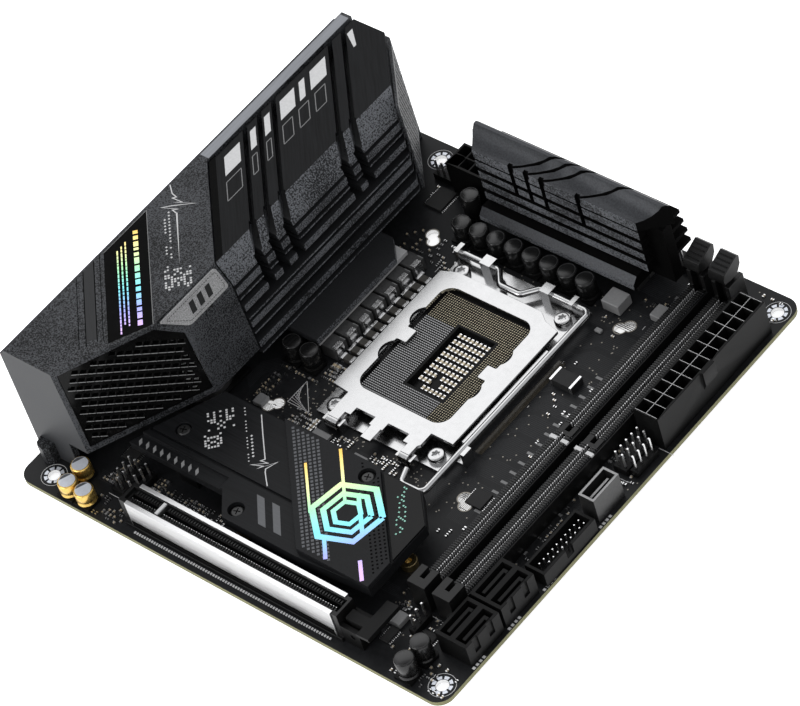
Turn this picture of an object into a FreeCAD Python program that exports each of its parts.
import FreeCAD, Part
import math
import os
import re
import sys
import Sketcher
from FreeCAD import Matrix, Placement, Rotation, Vector

# Mini-ITX computer motherboard with its heatsinks, shroud, sockets and connectors.
# Board coordinates: X runs from the rear ports to the memory side, Y from the expansion
# slot to the opposite edge, Z up from the board's top face, with zero at the board's corner.
# place() shifts them so that the finished assembly stands on Z = 0 about its centre.

DIMS = {
    # circuit board
    "board_side": 170.0, "board_thick": 1.6, "board_corner": 5.0,
    "hole_radius": 1.98, "hole_left": 10.16, "hole_right": 165.1, "hole_front": 6.17,
    "hole_back": 163.65, "hole_back_left": 33.02,
    "cooler_x": 90.16, "cooler_y": 98.86, "cooler_wide": 39.0, "cooler_narrow": 37.0,
    "cooler_radius": 1.95, "jack_reach": 5.0,
    # processor socket
    "plate_under": 2.2, "frame_thick": 1.2, "screw_left": 71.0, "screw_right": 111.0,
    "screw_low": 69.0, "screw_high": 129.0, "screw_shank": 1.5, "screw_head": 2.7,
    "window_left": 72.7, "window_right": 107.7, "window_low": 76.8, "window_high": 121.3,
    "housing_top": 3.0, "contact_top": 3.3, "load_low": 4.0, "load_thick": 1.2,
    "hinge_y": 63.5, "hinge_z": 2.9, "pin_radius": 0.8, "pin_clear": 0.05,
    "lever_y": 134.0, "lever_z": 4.2, "lever_radius": 1.1, "arm_x": 118.0,
    # rear cover and its heatsink
    "top_z": 46.5, "wall": 2.0, "near_y": 12.0, "front_y": 69.5, "far_y": 168.5,
    "skirt_z": 11.7, "knee_z": 39.3, "top_x": 36.5, "knee_x": 40.9, "skirt_x": 43.0,
    "vent_top_x": 21.7, "vent_skirt_x": 23.6, "vent_top_y": 42.0, "vent_skirt_y": 51.3,
    "vent_knee_x": 22.09, "vent_knee_y": 50.1, "ridge_sum": 106.0, "corner_sum": 188.0,
    "strip_width": 6.0, "sink_top": 44.4, "panel_thick": 1.5, "foot_wide": 15.6, "boss_top": 7.3,
    "slot_width": 2.3, "groove_width": 1.5, "port_depth": 16.0,
    # top heatsink
    "stack_left": 66.0, "stack_right": 129.5, "stack_front": 150.5, "stack_web": 154.5,
    "stack_back": 158.5, "stack_top": 37.7, "stack_base": 6.6,
    # memory slots
    "slot_a_x": 142.8, "slot_pitch": 9.4, "slot_half": 3.3, "slot_height": 7.0,
    "slot_low": 24.5, "slot_high": 163.0, "tower_low": 31.5, "tower_high": 156.0,
    "latch_top": 21.0, "latch_pivot_y": 159.5, "latch_pivot_z": 4.0,
    # power, drive and front-panel connectors
    "cell": 4.2, "atx_x": 158.9, "atx_y": 105.4, "atx_height": 13.3, "eps_x": 45.6,
    "eps_y": 155.3, "eps_height": 13.0, "pin_side": 0.64, "pin_pitch": 2.54,
    # expansion slot
    "pcie_left": 43.3, "pcie_right": 130.0, "pcie_low": 4.1, "pcie_high": 11.6,
    "pcie_height": 11.0, "shield_left": 46.1, "shield_right": 127.9,
    # solid-state drive bay
    "bay_top": 12.0, "bay_low": 14.3, "bay_high": 51.3, "bay_thick": 4.0,
    # round capacitors
    "can_radius": 3.15, "can_height": 8.0, "tail_reach": 2.2,
}

doc = FreeCAD.newDocument("Motherboard")
sheet = doc.addObject("Spreadsheet::Sheet", "Sizes")
for row, (alias, value) in enumerate(DIMS.items(), start=1):
    sheet.set(f"A{row}", alias)
    sheet.set(f"B{row}", str(value))
    sheet.setAlias(f"B{row}", alias)
doc.recompute()

ORIGIN = {
    "x": "(board_side - jack_reach) / 2",
    "y": "board_side / 2",
    "z": "-(board_thick + plate_under)",
}
TURN = {
    "x": Rotation(Vector(0, 1, 0), 90),
    "y": Rotation(Vector(1, 0, 0), -90),
    "z": Rotation(),
}
PLANE = {"xy": "XY_Plane", "xz": "XZ_Plane", "yz": "YZ_Plane"}
nodes = []


def sized(text):
    """Point every dimension named in an expression at its cell of the sheet."""
    def cell(found):
        word = found.group()
        return "Sizes." + word if word in DIMS else word
    return re.sub(r"[A-Za-z_]\w*", cell, str(text))


def dim(alias):
    """Value of one cell, for shapes worked out in this file."""
    return float(sheet.get(alias))


def place(item, x="0", y="0", z="0"):
    """Put an object at a point given in board coordinates."""
    for axis, value in zip("xyz", (x, y, z)):
        item.setExpression(f".Placement.Base.{axis}", sized(f"({value}) - ({ORIGIN[axis]})"))
    return item


def node(item, label):
    """Register an object as a finished sub-part."""
    item.Label = label
    nodes.append(item)
    return item


def box(x, y, z, dx, dy, dz, turn=None):
    """Block from its lowest corner, optionally turned about that corner."""
    item = doc.addObject("Part::Box", "Block")
    if turn is not None:
        item.Placement = Placement(Vector(), turn)
    for name, value in (("Length", dx), ("Width", dy), ("Height", dz)):
        item.setExpression(name, sized(value))
    return place(item, x, y, z)


def rod(x, y, z, radius, length, axis="z", turn=None):
    """Cylinder from the centre of its start face along an axis."""
    item = doc.addObject("Part::Cylinder", "Rod")
    item.Placement = Placement(Vector(), turn or TURN[axis])
    item.setExpression("Radius", sized(radius))
    item.setExpression("Height", sized(length))
    return place(item, x, y, z)


def cut(base, tools):
    """Take one or more solids away from a base."""
    item = doc.addObject("Part::Cut", "Cut")
    item.Base = base
    item.Tool = tools[0] if len(tools) == 1 else fuse(tools)
    return item


def fuse(parts):
    """Join solids that touch or overlap into one."""
    item = doc.addObject("Part::MultiFuse", "Fusion")
    item.Shapes = parts
    item.Refine = True
    return item


def creases(shape):
    """Numbers of the upright edges where two side faces meet at a real corner."""
    found = []
    for i, edge in enumerate(shape.Edges, start=1):
        low, high = edge.BoundBox.ZMin, edge.BoundBox.ZMax
        sides = shape.ancestorsOfType(edge, Part.Face)
        if high - low < 1 or len(sides) != 2:
            continue
        spot = edge.valueAt((edge.FirstParameter + edge.LastParameter) / 2)
        one, two = [side.normalAt(*side.Surface.parameter(spot)) for side in sides]
        if math.degrees(one.getAngle(two)) > 12:
            found.append(i)
    return found


def group(parts):
    """Keep separate solids together in one sub-part."""
    item = doc.addObject("Part::Compound", "Set")
    item.Links = parts
    return item


def outline_in(body, name, plane, points, offset):
    """Sketch a closed outline whose corners are dimensioned from the board's corner."""
    sketch = body.newObject("Sketcher::SketchObject", name)
    face = [f for f in body.Origin.OriginFeatures if f.Role == PLANE[plane]][0]
    sketch.AttachmentSupport = [(face, "")]
    sketch.MapMode = "FlatFace"
    count = len(points)
    ring = [
        Vector(math.cos(2 * math.pi * i / count), math.sin(2 * math.pi * i / count), 0)
        for i in range(count)
    ]
    sketch.addGeometry([Part.LineSegment(ring[i], ring[(i + 1) % count]) for i in range(count)])
    sketch.addConstraint(
        [Sketcher.Constraint("Coincident", i, 2, (i + 1) % count, 1) for i in range(count)]
    )
    corners = []
    for i in range(count):
        corners.append(Sketcher.Constraint("DistanceX", -1, 1, i, 1, ring[i].x))
        corners.append(Sketcher.Constraint("DistanceY", -1, 1, i, 1, ring[i].y))
    sketch.addConstraint(corners)
    for i, (across, up) in enumerate(points):
        sketch.setExpression(f"Constraints[{count + 2 * i}]", sized(across))
        sketch.setExpression(f"Constraints[{count + 2 * i + 1}]", sized(up))
    sign = "-" if plane == "xz" else ""
    sketch.setExpression(".AttachmentOffset.Base.z", sized(f"{sign}({offset})"))
    return sketch


def extrude(name, plane, points, start, length):
    """Body padded from an outline drawn in one of the board's main planes."""
    body = doc.addObject("PartDesign::Body", name)
    pad = body.newObject("PartDesign::Pad", name + "_pad")
    sketch = outline_in(body, name + "_outline", plane, points, start)
    pad.Profile = sketch
    pad.Reversed = plane == "xz"
    pad.setExpression("Length", sized(length))
    body.Tip = pad
    return place(body)


def loft(name, low_points, low_z, high_points, high_z):
    """Body with flat sides between two outlines at different heights."""
    body = doc.addObject("PartDesign::Body", name)
    low = outline_in(body, name + "_low", "xy", low_points, low_z)
    high = outline_in(body, name + "_high", "xy", high_points, high_z)
    solid = body.newObject("PartDesign::AdditiveLoft", name + "_loft")
    solid.Profile = low
    solid.Sections = [high]
    solid.Ruled = True
    body.Tip = solid
    return place(body)


def bent_rod(points, radius, bend):
    """Round wire through a list of points, each corner an arc of the given radius."""
    edges = []
    last = points[0]
    for before, corner, after in zip(points, points[1:], points[2:]):
        back = (before - corner).normalize()
        ahead = (after - corner).normalize()
        half = back.getAngle(ahead) / 2
        reach = bend / math.tan(half)
        start = corner + back * reach
        end = corner + ahead * reach
        middle = corner + (back + ahead).normalize() * (bend / math.sin(half) - bend)
        edges.append(Part.LineSegment(last, start).toShape())
        edges.append(Part.Arc(start, middle, end).toShape())
        last = end
    edges.append(Part.LineSegment(last, points[-1]).toShape())
    path = Part.Wire(edges)
    ring = Part.Wire([Part.Circle(points[0], points[1] - points[0], radius).toShape()])
    return path.makePipeShell([ring], True, False)


def made(shape, name):
    """Document object for a shape worked out in this file, in board coordinates."""
    item = doc.addObject("Part::Feature", name)
    item.Shape = shape
    item.Placement = Placement()
    return place(item)


# ---------------------------------------------------------------- circuit board
def circuit_board():
    body = extrude("board_blank", "xy", [
        ("0", "0"), ("board_side", "0"), ("board_side", "board_side"), ("0", "board_side"),
    ], "-board_thick", "board_thick")
    doc.recompute()
    pad = body.Tip
    upright = [
        f"Edge{i}" for i, edge in enumerate(pad.Shape.Edges, start=1)
        if abs(edge.Vertexes[0].Z - edge.Vertexes[-1].Z) > dim("board_thick") / 2
    ]
    corners = body.newObject("PartDesign::Fillet", "board_corners")
    corners.Base = (pad, upright)
    corners.setExpression("Radius", sized("board_corner"))
    body.Tip = corners
    holes = [
        rod(x, y, "-2 * board_thick", "hole_radius", "3 * board_thick")
        for x, y in (("hole_left", "hole_front"), ("hole_right", "hole_front"),
                     ("hole_right", "hole_back"), ("hole_back_left", "hole_back"))
    ]
    for side_x in ("-", "+"):
        for side_y in ("-", "+"):
            for reach in ("cooler_wide", "cooler_narrow"):
                holes.append(rod(f"cooler_x {side_x} {reach}", f"cooler_y {side_y} {reach}",
                                 "-2 * board_thick", "cooler_radius", "3 * board_thick"))
            holes.append(rod("screw_left" if side_x == "-" else "screw_right",
                             "screw_low" if side_y == "-" else "screw_high",
                             "-2 * board_thick", "screw_shank + 0.2", "3 * board_thick"))
    node(cut(body, holes), "circuit_board")


# ------------------------------------------------------------- processor socket
def socket():
    screws = [(x, y) for x in ("screw_left", "screw_right") for y in ("screw_low", "screw_high")]
    under = box("screw_left - 6", "screw_low - 6", "-board_thick - plate_under",
                "screw_right - screw_left + 12", "screw_high - screw_low + 12", "plate_under")
    window = box("cooler_x - 11", "cooler_y - 13", "-board_thick - plate_under - 1",
                 22, 26, "plate_under + 2")
    shanks = [rod(x, y, "-board_thick - plate_under - 1", "screw_shank", "plate_under + 2")
              for x, y in screws]
    node(cut(under, [window] + shanks), "socket_backplate")

    heads = []
    for x, y in screws:
        shank = rod(x, y, "-board_thick - plate_under", "screw_shank",
                    "board_thick + plate_under + frame_thick")
        head = rod(x, y, "frame_thick", "screw_head", 1.9)
        recess = rod(x, y, "frame_thick + 1", 1.3, 1)
        heads.append(cut(fuse([shank, head]), [recess]))
    node(group(heads), "socket_screws")

    block = box("window_left - 1", "window_low - 1", 0, "window_right - window_left + 2",
                "window_high - window_low + 2", "housing_top")
    well = box("window_left + 12.6", "window_low + 9.2", 0.8, 14.2, 25, "housing_top")
    node(cut(block, [well]), "socket_housing")

    fields = [
        box("window_left + 0.6", "window_low + 0.6", "housing_top",
            "window_right - window_left - 1.2", 8, "contact_top - housing_top"),
        box("window_left + 0.6", "window_low + 34.8", "housing_top",
            "window_right - window_left - 1.2", 9, "contact_top - housing_top"),
        box("window_left + 0.6", "window_low + 8.8", "housing_top", 11.4, 25.8,
            "contact_top - housing_top"),
        box("window_left + 27.4", "window_low + 8.8", "housing_top",
            "window_right - window_left - 28", 25.8, "contact_top - housing_top"),
    ]
    node(group(fields), "socket_contacts")

    chips = []
    for column in range(8):
        for line in range(9):
            chips.append(box(f"window_left + 13.5 + {column} * 1.6",
                             f"window_low + 10.2 + {line} * 2.65", 0.8, 1.0, 1.7, 0.9))
    node(group(chips), "socket_capacitors")
    socket_frame(screws)
    load_plate()
    load_lever()


def socket_frame(screws):
    """Steel frame: base ring, lever bearings at the back and the hinge bar at the front."""
    ring = box(66.3, 65.2, 0, 50.1, 70.7, "frame_thick")
    opening = box("window_left - 1.2", "window_low - 1.2", -1,
                  "window_right - window_left + 2.4", "window_high - window_low + 2.4", 4)
    bores = [rod(x, y, -1, "screw_shank", 4) for x, y in screws]
    bearings = []
    for start, width in ((66.3, 1.6), (76.6, 4.0), (100.2, 3.6), (111.4, 1.6)):
        lug = box(start, "lever_y - 1.9", 0, width, 3.8, "lever_z + 2.2")
        bore = rod(start - 1, "lever_y", "lever_z", "lever_radius + pin_clear", width + 2, "x")
        bearings.append(cut(lug, [bore]))
    cheeks = [box(x, "hinge_y - 1.3", 0, 0.9, 2.9, "hinge_z + 1.2")
              for x in (72.2, 78.2, 101.1, 106.2)]
    bars = [rod(x, "hinge_y", "hinge_z", "pin_radius", length, "x")
            for x, length in ((72.4, 6.5), (101.3, 5.6))]
    side = box(115.5, 76, 0, 0.9, 40, 3.9)
    keeper = box(119.4, 71, 0, 1.4, 3.6, 5.6)
    strap = box(116.3, 71, 0, 4.5, 3.6, 1.0)
    node(fuse([cut(ring, [opening] + bores)] + bearings + cheeks + bars + [side, keeper, strap]),
         "socket_frame")


def load_plate():
    """Pressed steel plate with a lobed window, turning on two rolled hinge hooks."""
    blank = extrude("load_blank", "xy", [
        ("67", "73.8"), ("67", "124.5"), ("72.5", "126.6"), ("105.5", "126.6"),
        ("109", "124.2"), ("114.8", "122.8"), ("114.8", "73.2"), ("106.4", "73.2"),
        ("106.4", "68.2"), ("105.2", "66.8"), ("91.8", "66.8"), ("91.8", "61.8"),
        ("88", "61.8"), ("88", "66.8"), ("73.4", "66.8"), ("73.4", "73.2"),
    ], "load_low", "load_thick")
    window = box("window_left", "window_low", 3, "window_right - window_left",
                 "window_high - window_low", 4)
    doc.recompute()
    rounded = doc.addObject("Part::Fillet", "Window_corners")
    rounded.Base = window
    rounded.Edges = [
        (i, 4.5, 4.5) for i, edge in enumerate(window.Shape.Edges, start=1)
        if abs(edge.Vertexes[0].Z - edge.Vertexes[-1].Z) > 1
    ]
    lobes = [rod(x, y, 3, 4.6, 4) for x in ("window_left + 2.6", "window_right - 3.4")
             for y in ("cooler_y - 6.8", "cooler_y + 8.2")]
    tabs = [box(x, "cooler_y - 1.9", 2, 4.2, 5.2, 6)
            for x in ("window_left - 0.6", "window_right - 3.2")]
    lobed = cut(fuse([rounded] + lobes), tabs)
    doc.recompute()
    opening = doc.addObject("Part::Fillet", "Window_waves")
    opening.Base = lobed
    inside = (dim("window_left") + 2, dim("window_right") - 2)
    opening.Edges = [
        (i, 1.4, 1.4) if inside[0] < lobed.Shape.Edges[i - 1].BoundBox.XMin < inside[1] else
        (i, 0.5, 0.5) for i in creases(lobed.Shape)
    ]
    eyes = [box(x, 65.6, 3, length, 4.2, 4) for x, length in ((79.8, 7.4), (92.4, 8.2))]
    hooks = []
    for x, width in ((73.6, 4.1), (102.4, 3.3)):
        arm = box(x, "hinge_y", "load_low", width, 4, "load_thick")
        knuckle = rod(x, "hinge_y", "hinge_z", "pin_radius + 1.3", width, "x")
        bore = rod(x - 1, "hinge_y", "hinge_z", "pin_radius + pin_clear", f"{width} + 2", "x")
        hooks.append(cut(fuse([arm, knuckle]), [bore]))
    node(fuse([cut(blank, [opening] + eyes)] + hooks), "load_plate")


def load_lever():
    """Spring-steel lever: cranked shaft in the bearings, long arm and a finger hook."""
    level = dim("lever_z")
    shaft = dim("lever_y")
    arm = dim("arm_x")
    corners = [
        (65.2, shaft), (82.4, shaft), (86.6, shaft - 4.7), (94.6, shaft - 4.7),
        (98.8, shaft), (arm, shaft), (arm, 55.0), (109.8, 54.6), (107.9, 59.6),
    ]
    wire = bent_rod([Vector(x, y, level) for x, y in corners], dim("lever_radius"), 2.1)
    node(made(wire, "Lever_wire"), "load_lever")


# --------------------------------------------- rear cover, its vent, badge and mesh
def rear_outline(inset, level):
    """Plan of the rear cover's wide end at one level, drawn inwards by a wall."""
    x_vent, x_front, y_vent = {
        "skirt": ("vent_skirt_x", "skirt_x", "vent_skirt_y"),
        "knee": ("vent_knee_x", "knee_x", "vent_knee_y"),
        "top": ("vent_top_x", "top_x", "vent_top_y"),
    }[level]
    return [
        ("0", f"near_y + {inset}"),
        (f"{x_vent} - 1.1 * {inset}", f"near_y + {inset}"),
        (f"{x_front} - {inset}", f"{y_vent} + 0.3 * {inset}"),
        (f"{x_front} - {inset}", "front_y"),
        ("0", "front_y"),
    ]


def rear_cover():
    lower = loft("cover_lower", rear_outline("0", "skirt"), "skirt_z",
                 rear_outline("0", "knee"), "knee_z")
    upper = loft("cover_upper", rear_outline("0", "knee"), "knee_z",
                 rear_outline("0", "top"), "top_z")
    hollow_low = loft("hollow_lower", rear_outline("wall", "skirt"), "skirt_z - 0.01",
                      rear_outline("wall", "knee"), "knee_z - 1")
    hollow_top = loft("hollow_upper", rear_outline("wall", "knee"), "knee_z - 1",
                      rear_outline("wall", "top"), "top_z - wall")
    ridge = extrude("cover_ridge", "xy", [
        ("0", "front_y - 1"), ("top_x", "front_y - 1"), ("top_x", "front_y"),
        ("strip_width", "ridge_sum - strip_width"), ("0", "ridge_sum - strip_width"),
    ], "top_z - wall", "wall")
    strip = box(0, "front_y - 1", 36, "strip_width", "far_y - front_y + 1", "top_z - 36")
    end = [box(0, "far_y - wall", 0, "strip_width", "wall", "top_z"),
           box(0, "far_y - wall", 0, 21.2, "wall", "sink_top - 0.2"),
           box(0, "near_y", 0.1, "foot_wide", "wall", "skirt_z")]
    boss = extrude("cover_boss", "xy", [
        ("1.7", "near_y + 0.5"), ("2.4", "near_y - 2.4"), ("3.6", "near_y - 3.4"),
        ("6", "near_y - 3.8"), ("7.4", "near_y - 2.4"), ("7.7", "near_y + 0.5"),
    ], 0.1, "boss_top")
    bevel = extrude("cover_bevel", "xz", [
        ("-1", "top_z - 2.5"), ("-1", "top_z + 1"), ("2", "top_z + 1"), ("2", "top_z"),
        ("0", "top_z - 2.5"),
    ], 0, "board_side")
    shell = fuse([lower, upper, ridge, strip, boss] + end)
    hollow = fuse([hollow_low, hollow_top])
    doc.recompute()
    window = vent_plate("Vent_opening", 1.6, -3, 6, False)
    node(cut(shell, [hollow, bevel, window]), "io_shroud")


def vent_frame():
    """Axes of the sloping vent face: up it, along its top edge and into the cover."""
    along = Vector(dim("top_x") - dim("vent_top_x"), dim("vent_top_y") - dim("near_y"), 0)
    rise = Vector(dim("vent_top_x") - dim("vent_skirt_x"), 0, dim("top_z") - dim("skirt_z"))
    along.normalize()
    inward = rise.cross(along).normalize()
    up = along.cross(inward).normalize()
    corner = Vector(dim("vent_top_x"), dim("near_y"), dim("top_z"))
    return corner, up, along, inward


def axes_matrix(first, second, third):
    """Rotation whose columns are three unit vectors."""
    return Placement(Matrix(first.x, second.x, third.x, 0, first.y, second.y, third.y, 0,
                            first.z, second.z, third.z, 0, 0, 0, 0, 1))


def vent_plate(name, rim, start, thick, pierced):
    """Flat plate that fills the vent face inside its rim, pierced by slanting rows of slots."""
    corner, up, along, inward = vent_frame()
    ring = []
    for x, y, z in (("vent_top_x", "near_y", "top_z"), ("top_x", "vent_top_y", "top_z"),
                    ("knee_x", "vent_knee_y", "knee_z"), ("skirt_x", "vent_skirt_y", "skirt_z"),
                    ("vent_skirt_x", "near_y", "skirt_z")):
        point = Vector(dim(x), dim(y), dim(z)) - corner
        ring.append(Vector(point.dot(up), point.dot(along), 0))
    face = Part.Face(Part.makePolygon(ring + ring[:1]))
    solid = face.makeOffset2D(-rim).extrude(Vector(0, 0, thick)).Solids[0]
    if pierced:
        solid = solid.cut(Part.makeCompound(vent_slots(face.makeOffset2D(-rim - 1.8), thick)))
        solid = max(solid.Solids, key=lambda piece: piece.Volume)
    item = made(solid, name)
    item.Placement = axes_matrix(up, along, inward)
    base = corner + inward * start
    return place(item, base.x, base.y, base.z)


def vent_slots(area, thick):
    """Rows of short slots that run down across the face at a slant."""
    slant, row_pitch, pitch, length, tall = 28.0, 2.95, 2.65, 2.0, 1.3
    turn = Rotation(Vector(0, 0, 1), slant)
    slots = []
    for row in range(-16, 8):
        for step in range(-8, 24):
            middle = turn.multVec(Vector(row * row_pitch, step * pitch, 0))
            if area.Faces[0].isInside(middle, 0.01, True):
                slot = Part.makeBox(tall, length, thick + 2, Vector(-tall / 2, -length / 2, -1))
                slot.Placement = Placement(middle, turn).multiply(slot.Placement)
                slots.append(slot)
    return slots


def rear_trim():
    """Vent grille, bevelled badge plate and the mesh over the cut-off corner."""
    node(vent_plate("Vent", 1.7, 0.5, 1.2, True), "vent_grille")
    facet = math.hypot(dim("top_z") - dim("knee_z"), dim("knee_x") - dim("top_x"))
    down = Vector(dim("knee_x") - dim("top_x"), 0, dim("knee_z") - dim("top_z")).normalize()
    badge = made(Part.Face(Part.makePolygon([
        Vector(0.6, 1.3, 0), Vector(facet - 0.4, 8.9, 0), Vector(facet - 0.4, 26.4, 0),
        Vector(0.6, 26.4, 0), Vector(0.6, 1.3, 0),
    ])).extrude(Vector(0, 0, 0.9)), "Badge_plate")
    badge.Placement = axes_matrix(down, Vector(0, 1, 0), down.cross(Vector(0, 1, 0)))
    node(place(badge, "top_x", "vent_top_y", "top_z"), "badge")

    start = "corner_sum - far_y + wall"
    mesh = box(f"{start} + 0.4", "far_y - wall + 0.4", 8, 29.0, 0.8, 36,
               Rotation(Vector(0, 0, 1), -45))
    holes = []
    for column in range(11):
        for line in range(13):
            reach = (2.2 + 2.45 * column + 1.2 * (line % 2)) * math.sqrt(0.5)
            holes.append(rod(f"{start} + 0.4 + {reach} - 1", f"far_y - wall + 0.4 - {reach} - 1",
                             11.0 + 2.45 * line, 0.85, 4,
                             turn=Rotation(Vector(0, 0, 1), Vector(1, 1, 0))))
    node(cut(mesh, [group(holes)]), "side_mesh")


def fan():
    """Small blower between the vent and the rear heatsink, its axis square to the vent."""
    corner, up, along, inward = vent_frame()
    centre = corner + along * 21.5 - up * 17.6 + inward * 4.5
    casing = Part.makeBox(30, 30, 8, Vector(-15, -15, 0))
    casing = casing.cut(Part.makeCylinder(13.6, 10, Vector(0, 0, -1)))
    spokes = [Part.makeBox(28.4, 2, 0.9, Vector(-14.2, -1, 7.1)),
              Part.makeBox(2, 28.4, 0.9, Vector(-1, -14.2, 7.1))]
    post = Part.makeCylinder(1.0, 5.6, Vector(0, 0, 1.6))
    stator = casing.fuse(spokes + [post, Part.makeCylinder(4, 0.9, Vector(0, 0, 7.1))])
    hub = Part.makeCylinder(5, 5.2, Vector(0, 0, 1.2)).cut(
        Part.makeCylinder(1.0 + dim("pin_clear"), 5.2, Vector(0, 0, 1.5)))
    disc = Part.makeCylinder(13, 5.2, Vector(0, 0, 1.2)).cut(
        Part.makeCylinder(4.5, 6, Vector(0, 0, 1)))
    blades = []
    for i in range(9):
        blade = Part.makeBox(9.5, 0.8, 6, Vector(4, -0.4, -3))
        blade.rotate(Vector(), Vector(1, 0, 0), 38)
        blade.translate(Vector(0, 0, 3.9))
        blade.rotate(Vector(), Vector(0, 0, 1), 40 * i)
        blades.append(blade.common(disc))
    for shape, label in ((stator.removeSplitter(), "fan_frame"), (hub.fuse(blades), "fan_rotor")):
        item = made(shape.Solids[0], "Fan_part")
        item.Placement = axes_matrix(up, along, inward)
        node(place(item, centre.x, centre.y, centre.z), label)


# ------------------------------------------------------------------- heatsinks
def corner_tool(name):
    """Prism beyond the 45 degree line that cuts off the rear heatsink's far corner."""
    return extrude(name, "xy", [
        ("corner_sum - far_y - 20", "far_y + 20"), ("corner_sum - far_y + 50", "far_y - 50"),
        ("corner_sum - far_y + 50", "far_y + 20"),
    ], -1, 60)


def diagonal_slots():
    """Channels at 45 degrees across the cap, carried down the upper fins as notches."""
    tools = []
    for middle in GROOVE_SUMS:
        tools.append(box(6, middle - 7.6, 40, 56, "slot_width", 12,
                         Rotation(Vector(0, 0, 1), -45)))
        tools.append(box("top_x - 0.5", f"{middle} - 1.6 - knee_x", 26.5, 8, 3.2, 14))
    return tools


def panel_grooves():
    """Narrow grooves through the panel, widening over its front edge."""
    tools = []
    for middle in GROOVE_SUMS:
        tools.append(box(6, middle - 7.06, "sink_top - 1", 44, "groove_width", 4,
                         Rotation(Vector(0, 0, 1), -45)))
        tools.append(box("top_x - 2.6", f"{middle} - 1.6 - top_x + 2.6", "sink_top - 1", 8,
                         "slot_width", 4, Rotation(Vector(0, 0, 1), -45)))
    return tools


# X plus Y along the middle of each diagonal groove
GROOVE_SUMS = (123.3, 130.0, 136.7, 163.7, 170.0)


def rear_heatsink():
    """Finned block over the regulator stages, with a brushed panel on top."""
    near = "front_y + 0.4"
    run = "far_y - wall - front_y - 0.8"
    cap = extrude("sink_cap", "xz", [
        ("7", "38"), ("41.1", "38"), ("knee_x", "knee_z"), ("top_x", "top_z - 0.2"),
        ("top_x", "sink_top"), ("7", "sink_top"),
    ], near, run)
    core = box(20, near, "stack_base", 14, run, 32)
    fins = []
    for low, high, front in ((34.2, 37.1, 41.6), (32.2, 32.9, 41.8), (27.7, 30.3, 42.6),
                             (24.1, 24.8, 42.8), (20.7, 23.2, 43.0), (17.8, 18.5, 43.0),
                             (11.8, 14.3, 43.2), (9.2, 9.9, 43.2)):
        fins.append(box(33.5, near, low, front - 33.5, run, high - low))
    foot = extrude("sink_foot", "xy", [
        ("20.5", "82.1"), ("54.3", "82.1"), ("54.3", "119.5"), ("48", "125.7"),
        ("20.5", "125.7"),
    ], "stack_base", 2.4)
    tools = [corner_tool("sink_corner")] + diagonal_slots()
    node(cut(fuse([cap, core, foot] + fins), tools), "rear_heatsink")

    panel = extrude("panel_blank", "xy", [
        ("7", "ridge_sum - 6.2"), ("top_x - 0.1", "front_y + 0.8"),
        ("top_x - 0.1", "far_y - 0.2"), ("7", "far_y - 0.2"),
    ], "sink_top", "panel_thick")
    tools = [corner_tool("panel_corner")] + panel_grooves()
    node(cut(panel, tools), "heatsink_panel")


def top_heatsink():
    """Second heatsink along the back edge: base, web, stepped fins and a curved cap."""
    span = "stack_right - stack_left"
    base = extrude("stack_foot", "yz", [
        ("145.9", "stack_base"), ("166", "stack_base"), ("166", "10.8"), ("148", "10.8"),
        ("145.9", "8.6"),
    ], "stack_left", f"{span} - 3")
    web = box("stack_left", "stack_web", "stack_base", f"{span} + 6", "stack_back - stack_web",
              "30 - stack_base")
    cap = extrude("stack_cap", "yz", [
        ("stack_front", "29.5"), ("stack_back", "29.5"), ("stack_back", "stack_top - 0.7"),
        ("stack_back - 0.7", "stack_top"), ("stack_back - 1.8", "stack_top"),
        ("stack_back - 2.7", "stack_top - 1.5"), ("stack_back - 4.2", "stack_top - 2.9"),
        ("stack_back - 6.1", "stack_top - 4.0"), ("stack_front", "stack_top - 4.5"),
    ], "stack_left - 3", f"{span} + 11")
    fins = [box("stack_left", "stack_front", low, span, "stack_web - stack_front + 0.5", tall)
            for low, tall in ((25.8, 3.1), (21.3, 2.9), (16.8, 2.8), (11.9, 3.1))]
    back = [box("stack_left", "stack_back - 0.5", low, f"{span} + 5", reach, 1.4)
            for low, reach in ((27.5, 6), (23, 6.6), (18.5, 7.2), (14, 7.5))]
    gaps, slits = [], []
    for start in (80.1, 86.1, 92.1, 106.2):
        for low, tall, deep in ((29.4, 4.5, 2.1), (25.2, 4.1, 5), (20.7, 4.1, 5)):
            gaps.append(box(start, "stack_front - 1", low, 1.6, deep, tall))
        slits.append(box(start - 1.6, "stack_front - 1", 31, 0.8, 21, 8,
                         Rotation(Vector(0, 0, 1), -63.4)))
    core = extrude("stack_core", "yz", [
        ("stack_front + 1", "29"), ("stack_back + 3", "29"), ("stack_back + 3", "stack_top - 1.2"),
        ("stack_back - 1.6", "stack_top - 1.2"), ("stack_back - 3.6", "stack_top - 3.8"),
        ("stack_front + 1", "stack_top - 5.4"),
    ], "stack_left - 4", f"{span} + 14")
    gaps.append(cut(fuse(slits), [core]))
    clip = extrude("stack_clip", "xy", [
        ("stack_right - 0.1", "stack_front - 0.1"), ("stack_right + 12", "stack_front - 0.1"),
        ("stack_right + 12", "stack_front + 12"),
    ], 29, 12)
    trim = extrude("stack_trim", "xy", [
        ("stack_left - 3.1", "stack_front - 0.1"), ("stack_left + 0.1", "stack_front - 0.1"),
        ("stack_left - 3.1", "stack_front + 5.2"),
    ], 29, 12)
    node(cut(fuse([base, web, cap] + fins + back), [clip, trim] + gaps), "top_heatsink")


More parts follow.
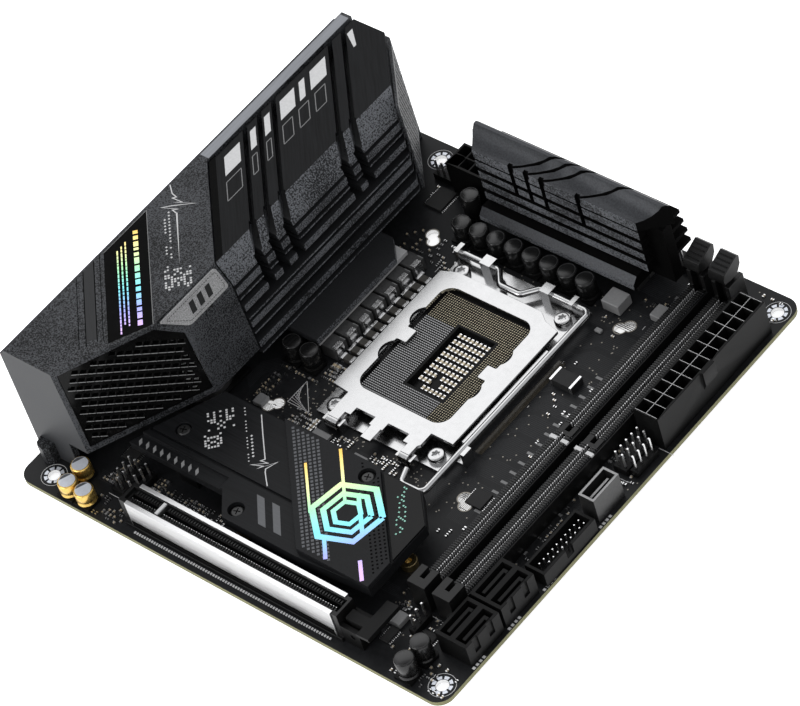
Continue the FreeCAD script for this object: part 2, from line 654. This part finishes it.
def power_stages():
    """Regulator stages, chokes, pads and capacitors under and beside both heatsinks."""
    stages = [box(46.4, f"84.3 + {i} * 6", 0, 4.8, 4.8, 5.0) for i in range(7)]
    stages += [box(f"72 + {i} * 9", 150.5, 0, 6, 5, 5.0) for i in range(6)]
    node(group(stages), "power_stages")
    pads = [box(44.6, 83, 5.0, 9, 42, "stack_base - 5.0"),
            box(68, 150, 5.0, 54, 14, "stack_base - 5.0")]
    node(group(pads), "thermal_pads")
    chokes = [box(52.8, f"83.7 + {i} * 6.2", 0, 6.0, 5.4, 4.9) for i in range(7)]
    chokes += [box(f"70.5 + {i} * 9", 156, 0, 7.4, 7, 5.0) for i in range(6)]
    node(group(chokes), "chokes")
    caps = [box(59.6, f"84.2 + {i} * 3.6", 0, 4.6, 2.6, 1.9) for i in range(11)]
    node(group(caps), "ceramic_capacitors")


# ------------------------------------------------------------------ capacitors
def can(x, y, height):
    """Round capacitor on its square moulded foot, its rim rounded."""
    foot = box(f"{x} - 3.2", f"{y} - 3.2", 0, 6.4, 6.4, 0.9)
    body = rod(x, y, 0.9, "can_radius", f"{height} - 0.9")
    waist = doc.addObject("Part::Torus", "Waist")
    waist.setExpression("Radius1", sized("can_radius + 0.25"))
    waist.Radius2 = 0.5
    place(waist, x, y, 1.9)
    return fuse([foot, cut(body, [waist])])


def capacitors():
    spots = [(61.85 + 7.0 * i, 141.6, "can_height") for i in range(8)]
    spots += [(58.9, 150.2, "can_height + 2.5"), (46.5, 78.7, "can_height"),
              (53.5, 78.7, "can_height"), (154.6, 11.2, "can_height"), (154.5, 4.3, "can_height")]
    node(group([can(x, y, tall) for x, y, tall in spots]), "round_capacitors")
    audio = [can(x, y, 5.8) for x, y in ((26.8, 3.9), (19.9, 3.9), (19.0, 10.8))]
    node(group(audio), "audio_capacitors")


# ---------------------------------------------------------------- memory slots
def memory_slot(letter, index):
    """Long slot with a fixed tower at the front and a swinging latch at the back."""
    centre = f"slot_a_x + {index} * slot_pitch"
    left = f"{centre} - slot_half"
    body = box(left, "slot_low", 0, "2 * slot_half", "slot_high - slot_low", "slot_height")
    low_tower = box(left, "slot_low", 0, "2 * slot_half", "tower_low - slot_low", 11)
    high_tower = box(left, "tower_high", 0, "2 * slot_half", "slot_high - tower_high", 13)
    groove = box(f"{centre} - 0.8", "tower_low - 4", 2.2, 1.6, 64, 20)
    groove_far = box(f"{centre} - 0.8", "tower_low + 61.5", 2.2, 1.6, 70, 20)
    throat = box(f"{centre} - 1.7", "tower_high - 0.5", 1.6, 3.4, 9, 20)
    pivots = [rod(f"{centre} - 2.6", "latch_pivot_y", "latch_pivot_z", "pin_radius + pin_clear",
                  5.2, "x")]
    chamfers = [box(f"{centre} {side}", "tower_low", "slot_height - 0.7", 0.7,
                    "tower_high - tower_low", 1)
                for side in ("- slot_half - 0.01", "+ slot_half - 0.69")]
    node(cut(fuse([body, low_tower, high_tower]), [groove, groove_far, throat] + chamfers + pivots),
         f"dimm_slot_{letter}")
    stem = box(f"{centre} - 1.4", "latch_pivot_y - 1.6", "latch_pivot_z - 1", 2.8, 3.2, 14.5)
    axle = rod(f"{centre} - 2.5", "latch_pivot_y", "latch_pivot_z", "pin_radius", 5.0, "x")
    head = extrude(f"latch_head_{letter}", "yz", [
        ("latch_pivot_y - 1.6", "14.4"), ("latch_pivot_y + 1.6", "14.4"),
        ("latch_pivot_y + 3.6", "17.2"), ("latch_pivot_y + 3.9", "latch_top - 0.8"),
        ("latch_pivot_y + 3", "latch_top"), ("latch_pivot_y - 3.6", "latch_top - 2.6"),
        ("latch_pivot_y - 4.4", "latch_top - 4.4"), ("latch_pivot_y - 4.2", "15"),
    ], f"{centre} - 3", 6.0)
    node(fuse([stem, axle, head]), f"dimm_latch_{letter}")


# ------------------------------------------------------------ power connectors
def cell_block(x, y, columns, lines, height):
    """Housing with a grid of square sockets, as wide as its cells and one wall."""
    body = box(x, y, 0, f"{columns} * cell + 1", f"{lines} * cell + 1", height)
    cells = [box(f"{x} + 0.8 + {i} * cell", f"{y} + 0.8 + {j} * cell", 2, "cell - 0.6",
                 "cell - 0.6", height)
             for i in range(columns) for j in range(lines)]
    return cut(body, [group(cells)])


def power_connectors():
    lug = extrude("atx_lug", "xz", [
        ("atx_x + 2 * cell + 1", "6"), ("atx_x + 2 * cell + 1.9", "8"),
        ("atx_x + 2 * cell + 1.9", "atx_height"), ("atx_x + 2 * cell + 1", "atx_height"),
    ], "atx_y + 20.4", 5.6)
    node(fuse([cell_block("atx_x", "atx_y", 2, 12, "atx_height"), lug]), "atx_connector")
    node(cell_block("eps_x", "eps_y", 4, 2, "eps_height"), "cpu_power_connector")


# ------------------------------------------------- drive, USB and panel headers
def drive_ports():
    """Two stacked pairs of drive ports, each with its L-shaped contact tongue."""
    pairs = []
    for low in (15.4, 31.2):
        body = box(157, low, 0, 11.6, 14.8, 8.6)
        wells, tongues = [], []
        for x in (158, 163.8):
            wells.append(box(x, low + 1.2, 2, 3.8, 12.4, 8))
            tongues.append(box(x + 1.2, low + 2.4, 1.9, 1.2, 10, 6))
            tongues.append(box(x + 2.3, low + 11.2, 1.9, 0.9, 1.2, 6))
        notches = [box(168, low + y, 3.4, 1, 2.2, 6) for y in (3, 9.4)]
        pairs.append(fuse([cut(body, wells + notches)] + tongues))
    node(group(pairs), "sata_ports")


def headers():
    """USB headers, the open pin headers with their bases and every connector's pins."""
    shroud = box(162.2, 48.6, 0, 7.4, 23.4, 5.6)
    well = box(163.2, 49.6, 1.4, 5.4, 21.4, 6)
    key = box(168, 58.5, 2.2, 2, 3, 5)
    node(cut(shroud, [well, key]), "usb3_header")
    shell = box(162.4, 74.4, 0, 5.8, 11.8, 9.7)
    mouth = box(163.2, 75.2, 1.5, 4.2, 10.2, 10)
    tongue = box(164.9, 76.2, 1.4, 0.8, 8.2, 6.6)
    node(fuse([cut(shell, [mouth]), tongue]), "usbc_header")
    bases, pins = [], []
    for x, y, columns, lines in (("atx_x", "atx_y", 2, 12), ("eps_x", "eps_y", 4, 2)):
        for i in range(columns):
            for j in range(lines):
                pins.append(box(f"{x} + 0.5 + ({i} + 0.5) * cell - 0.5",
                                f"{y} + 0.5 + ({j} + 0.5) * cell - 0.5", 2, 1.0, 1.0, 7.5))
    for x, y, columns, lines in PIN_HEADERS:
        bases.append(box(x, y, 0, f"{columns} * pin_pitch", f"{lines} * pin_pitch", 2.4))
        for i in range(columns):
            for j in range(lines):
                pins.append(box(f"{x} + ({i} + 0.5) * pin_pitch - pin_side / 2",
                                f"{y} + ({j} + 0.5) * pin_pitch - pin_side / 2", 2.4,
                                "pin_side", "pin_side", 5.6))
    for i in range(2):
        for j in range(10):
            if (i, j) != (1, 0):
                pins.append(box(f"164.9 + {i} * 2", f"51.4 + {j} * 2", 1.4, 0.5, 0.5, 3.4))
    node(group(bases), "header_bases")
    node(group(pins), "connector_pins")


PIN_HEADERS = [
    (159.6, 92.0, 2, 5), (165.2, 93.0, 1, 4), (31.0, 10.5, 2, 4), (37.6, 11.0, 1, 4),
    (145.2, 15.5, 1, 3), (128.5, 163.2, 4, 1), (36.5, 156.5, 3, 1),
]


# -------------------------------------------------------------- expansion slot
def expansion_slot():
    """Long slot with a steel shield over its sides and a pivoting card latch."""
    body = extrude("pcie_body", "yz", [
        ("pcie_low - 0.9", "0"), ("pcie_high + 0.9", "0"), ("pcie_high + 0.9", "1.4"),
        ("pcie_high", "1.4"), ("pcie_high", "pcie_height"), ("pcie_low", "pcie_height"),
        ("pcie_low", "1.4"), ("pcie_low - 0.9", "1.4"),
    ], "pcie_left", "pcie_right - pcie_left")
    middle = "(pcie_low + pcie_high) / 2"
    groove = box("pcie_left + 1.6", f"{middle} - 0.9", 2.4, 11.4, 1.8, 10)
    groove_long = box("pcie_left + 14.8", f"{middle} - 0.9", 2.4, 70.6, 1.8, 10)
    trough = box("pcie_left + 1.2", f"{middle} - 2.3", "pcie_height - 1.6", 84.6, 4.6, 3)
    node(cut(body, [groove, groove_long, trough]), "pcie_slot")
    length = "shield_right - shield_left"
    sides = [box("shield_left", y, 1.4, length, 0.5, "pcie_height - 1.2")
             for y in ("pcie_low - 0.5", "pcie_high")]
    lips = [box("shield_left", y, "pcie_height", length, 1.5, 0.3)
            for y in ("pcie_low - 0.5", "pcie_high - 1")]
    halves = [fuse([side, lip]) for side, lip in zip(sides, lips)]
    node(group(halves), "pcie_shield")
    cradle = [box("pcie_right", y, 0, 7.5, 1.6, 7) for y in (4.0, 10.1)]
    floor = box("pcie_right", 4.0, 0, 7.5, 7.7, 1.6)
    bores = [rod(134.5, 3, 4.2, "pin_radius + pin_clear", 10, "y")]
    node(cut(fuse(cradle + [floor]), bores), "pcie_latch_mount")
    arm = extrude("latch_arm", "xz", [
        ("133.2", "2.4"), ("136", "2.4"), ("141", "7.4"), ("143", "8.4"), ("142.6", "9.6"),
        ("138", "9.2"), ("134", "8.8"), ("131.4", "9.4"), ("131.2", "8"), ("133", "6.4"),
    ], 6.1, 3.5)
    wing = extrude("latch_wing", "xz", [
        ("137.9", "8.2"), ("143", "8.4"), ("142.6", "9.6"), ("138", "9.2"),
    ], 3.0, 14.0)
    axle = rod(134.5, 4.4, 4.2, "pin_radius", 6.9, "y")
    node(fuse([arm, wing, axle]), "pcie_latch")


# ------------------------------------------------------------ drive bay cover
def drive_bay():
    """Cover over the solid-state drive, its raised diagonal plate, posts and connector."""
    cover = extrude("bay_blank", "xy", [
        ("31", "22.3"), ("69.5", "22.3"), ("76.5", "bay_low"), ("106", "bay_low"),
        ("132.6", "16.2"), ("132.6", "42"), ("123.4", "bay_high"), ("45", "bay_high"),
    ], "bay_top - bay_thick", "bay_thick")
    step = box(20, 14, "bay_top - 1.1", "48.5", 12.6, 3)
    groove = box(20, 28.6, "bay_top - 0.8", 82, 0.9, 3)
    sunk = rod(78.4, 18.7, "bay_top - 2.2", 2.6, 4)
    bores = [rod(x, y, 0, 1.25, 20) for x, y in BAY_SCREWS]
    seats = [rod(x, y, "bay_top - 1.4", 2.5, 4) for x, y in BAY_SCREWS[:1]]
    node(cut(cover, [step, groove, sunk] + bores + seats), "m2_cover")

    plate = extrude("diagonal_blank", "xy", [
        ("69.7", "bay_high"), ("105.4", "15.6"), ("133.2", "15.6"), ("133.2", "25.5"),
        ("107.4", "bay_high"),
    ], "bay_top", 1.9)
    eye = rod(106.2, 46.9, "bay_top - 1", 2.7, 6)
    node(cut(plate, [eye]), "m2_diagonal_plate")
    gloss = extrude("corner_plate", "xy", [
        ("109", "bay_high - 0.6"), ("132.4", "27.2"), ("132.4", "41.8"), ("123.2", "bay_high - 0.6"),
    ], "bay_top", 0.6)
    node(gloss, "m2_corner_plate")

    posts, screws = [], []
    for (x, y), head in zip(BAY_SCREWS, ("bay_top - 1.4", "bay_top", "bay_top - 2.2")):
        posts.append(cut(rod(x, y, 0, 2.4, "bay_top - bay_thick"),
                         [rod(x, y, 4, 1.25, "bay_top")]))
        shank = rod(x, y, 4, 1.25, f"{head} - 4")
        screws.append(cut(fuse([shank, rod(x, y, head, 2.2, 1.2)]),
                          [box(x - 1.3, y - 0.25, f"{head} + 0.6", 2.6, 0.5, 2)]))
    posts.append(cut(rod(129.2, 34.5, 0, 2.6, 2.6), [rod(129.2, 34.5, 1, 1.0, 3)]))
    node(group(posts), "m2_posts")
    node(group(screws), "m2_screws")
    socket = box(47, 24.5, 0, 7, 22, 4.2)
    mouth = box(50, 25.6, 2.4, 5, 19.8, 0.9)
    node(cut(socket, [mouth]), "m2_connector")
    holder = box(15.1, 47.0, 0, 22, 21, 1.2)
    cell = rod(26.0, 57.4, 1.2, 9.9, 3.2)
    node(holder, "battery_holder")
    node(cell, "coin_cell")


BAY_SCREWS = [(43.4, 33.8), (106.2, 46.9), (78.4, 18.7)]


# ------------------------------------------------------------------ rear ports
def shell_port(y, z, width, height, lip=0.5, tongue=None):
    """Metal port shell, open at the rear, with a contact tongue inside."""
    body = box(-1.6, y, z, "port_depth", width, height)
    mouth = box(-2.6, y + lip, z + lip, "port_depth", width - 2 * lip, height - 2 * lip)
    parts = [cut(body, [mouth])]
    if tongue:
        parts.append(box(-0.8, y + (width - tongue[0]) / 2, z + tongue[1], "port_depth - 1",
                         tongue[0], tongue[2]))
    return fuse(parts) if tongue else parts[0]


def rear_ports():
    usb = [shell_port(y, z, 13.8, 7.6, tongue=(11.0, 4.2, 1.9))
           for y, z in ((36.2, 0), (52.2, 0), (86.6, 0), (86.6, 8.0))]
    usb.append(shell_port(138.6, 0, 9.2, 3.4, lip=0.35, tongue=(6.6, 1.3, 0.8)))
    node(group(usb), "usb_ports")
    node(shell_port(68.6, 0, 16.0, 13.6, lip=1.0), "lan_port")
    node(group([shell_port(102.6, 0, 15.2, 5.9, tongue=(11.6, 2.6, 0.9)),
                shell_port(120.4, 0, 16.4, 6.4, tongue=(12.0, 2.9, 0.9))]), "video_ports")
    block = box(0.4, 14.6, 0, 12, 19.8, 11.6)
    barrels, bores = [], []
    for y in (18.2, 24.6, 31.0):
        barrels.append(rod("-jack_reach", y, 5.8, 2.9, "jack_reach + 0.6", "x"))
        bores.append(rod("-jack_reach - 1", y, 5.8, 1.8, "jack_reach + 10", "x"))
    node(cut(fuse([block] + barrels), bores), "audio_jacks")
    module = box(0.4, 150.6, 0, 15.6, 14.6, 26)
    node(module, "wifi_module")
    antennas = []
    for z in (8, 20):
        outer = rod("-jack_reach", 157.9, z, 3.1, "jack_reach + 0.4", "x")
        antennas.append(cut(outer, [rod("-jack_reach - 1", 157.9, z, 2.0, "jack_reach", "x")]))
    node(group(antennas), "antenna_connectors")
    rear_plate()
    buttons()


def rear_plate():
    """Thin steel panel behind the ports, cut out round each of them."""
    panel = box(-0.8, "near_y + 0.2", 0.3, 0.8, "far_y - near_y - 1.9", 43.6)
    holes = [(14.2, 0, 20.6, 11.9), (35.9, -1, 14.4, 8.9), (51.9, -1, 14.4, 8.9),
             (68.3, -1, 16.6, 14.9), (86.3, -1, 14.4, 16.9), (102.3, -1, 15.8, 7.2),
             (120.1, -1, 17.0, 7.7), (138.3, -1, 9.8, 4.7)]
    tools = [box(-2, y, z, 4, width, height) for y, z, width, height in holes]
    tools += [rod(-2, 157.9, z, 3.3, 4, "x") for z in (8, 20)]
    tools += [rod(-2, y, BUTTON_Z, 2.4, 4, "x") for y, _ in BUTTONS]
    vents = [box(-2, 20 + 9 * i, 33, 4, 5.6, 3) for i in range(15)]
    node(cut(panel, tools + vents), "rear_plate")


BUTTONS = [(106.4, "flashback_button"), (114.0, "clear_cmos_button")]
BUTTON_Z = 10.4


def buttons():
    """Two rear push buttons, each sliding in its own bored switch block."""
    blocks = []
    for y, label in BUTTONS:
        block = box(0.5, y - 3.2, 5.9, 6.4, 6.4, 8.2)
        bore = rod(-1, y, BUTTON_Z, 2.05, 5.5, "x")
        blocks.append(cut(block, [bore]))
        stem = rod(-2.2, y, BUTTON_Z, 2.0, 5.4, "x")
        node(stem, label)
    node(group(blocks), "button_switches")


# ------------------------------------------------------- chips and solder tails
def small_parts():
    chips = [(41.0, 146.2, 6.6, 8.4, 0.9), (122.0, 108.6, 8.8, 5.2, 2.6),
             (139.0, 9.4, 3, 5.6, 0.8), (128.5, 60.5, 6, 6, 0.9), (24.5, 22.0, 5, 5, 0.9),
             (148.4, 14.6, 5, 4, 0.9)]
    node(group([box(x, y, 0, dx, dy, dz) for x, y, dx, dy, dz in chips]), "surface_chips")
    coils = [(117.6, 139.6, 6.6, 6.2, 4.0), (133.2, 143.0, 5.0, 5.0, 2.6),
             (137.2, 15.2, 4.6, 4.6, 2.0), (70.6, 56.8, 6.4, 3.2, 1.2), (87.6, 56.4, 5.2, 2.2, 1.2),
             (46.6, 57.8, 3.6, 4.0, 1.8), (121.0, 131.0, 2.4, 1.6, 1.0)]
    node(group([box(x, y, 0, dx, dy, dz) for x, y, dx, dy, dz in coils]), "inductors")


def tail(x, y):
    """One soldered pin end under the board."""
    return rod(x, y, "-board_thick - tail_reach", 0.4, "tail_reach")


def solder_tails():
    memory = [tail(f"slot_a_x + {slot} * slot_pitch + {side}", 34 + 4.0 * i)
              for slot in range(2) for side in (-2.2, 2.2) for i in range(31)]
    card = [tail(48 + 4 * i, y) for y in (5.4, 10.2) for i in range(20)]
    power = [tail(f"atx_x + 0.5 + {i + 0.5} * cell", f"atx_y + 0.5 + {j + 0.5} * cell")
             for i in range(2) for j in range(12)]
    power += [tail(165.2 + 2.0 * i, 51.4 + 2.0 * j) for i in range(2) for j in range(10)]
    power += [tail(x, 18 + 1.9 * j) for x in (159.8, 165.6) for j in range(14)]
    ports = [tail(x, y + 2.4 * i) for y in (38, 54, 71, 89, 105, 123) for i in range(5)
             for x in (3.5, 8.5)]
    ports += [tail(x, y) for x in (4, 10) for y in (17, 24, 31)]
    node(group(memory + card + power + ports), "solder_tails")


for build in (circuit_board, socket, rear_cover, rear_trim, fan, rear_heatsink, top_heatsink,
              power_stages, capacitors, power_connectors, drive_ports, headers, expansion_slot,
              drive_bay, rear_ports, small_parts, solder_tails):
    build()
for index, letter in enumerate("ab"):
    memory_slot(letter, index)
doc.recompute()

failed = [item.Name for item in doc.Objects if {"Invalid", "Error"} & set(item.State)]
for item in nodes:
    if item.Shape.isNull() or not item.Shape.isValid() or not item.Shape.Solids:
        failed.append(item.Label)
if failed:
    sys.exit("these objects did not build: " + ", ".join(failed))
os.makedirs("parts", exist_ok=True)
for item in nodes:
    item.Shape.exportStep(os.path.join("parts", item.Label + ".step"))
    print(f"{item.Label:24s} solids {len(item.Shape.Solids):4d} volume {item.Shape.Volume:10.1f}")
